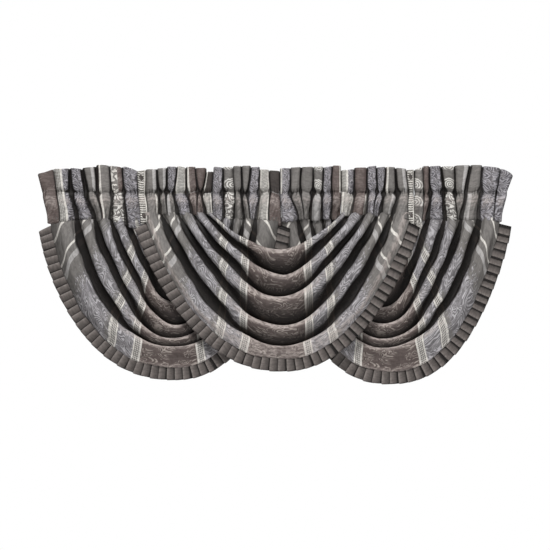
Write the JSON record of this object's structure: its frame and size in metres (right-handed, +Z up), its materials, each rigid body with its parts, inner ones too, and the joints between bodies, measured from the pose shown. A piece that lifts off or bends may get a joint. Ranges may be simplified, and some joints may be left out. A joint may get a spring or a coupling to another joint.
{
  "type": "waterfall valance set",
  "caption": "Waterfall valances lapped on one rod line: each a draped swag of striped cloth hung between gathered rod-pocket headings, with knife-pleated trim along its curved hem.",
  "frame": {"origin": "middle of the top edge, in the plane of the rod", "axes": "+X along the rod to the viewer's right, +Y towards the wall, so the face looks along -Y, +Z up"},
  "size_m": [1.9775, 0.1161, 0.9201],
  "materials": {
    "body_cloth": "satin jacquard, grey-taupe with lilac-grey, brown and cream stripes",
    "heading_cloth": "the same striped jacquard, gathered",
    "trim_cloth": "plain taupe-grey cloth with a soft sheen"
  },
  "bodies": {
    "root": {"body_left": "body_cloth", "trim_left": "trim_cloth", "body_centre": "body_cloth", "trim_centre": "trim_cloth", "body_right": "body_cloth", "trim_right": "trim_cloth", "heading_left_outer": "heading_cloth", "heading_centre_left": "heading_cloth", "heading_left_inner": "heading_cloth", "heading_right_inner": "heading_cloth", "heading_centre_right": "heading_cloth", "heading_right_outer": "heading_cloth"}
  },
  "joints": []
}
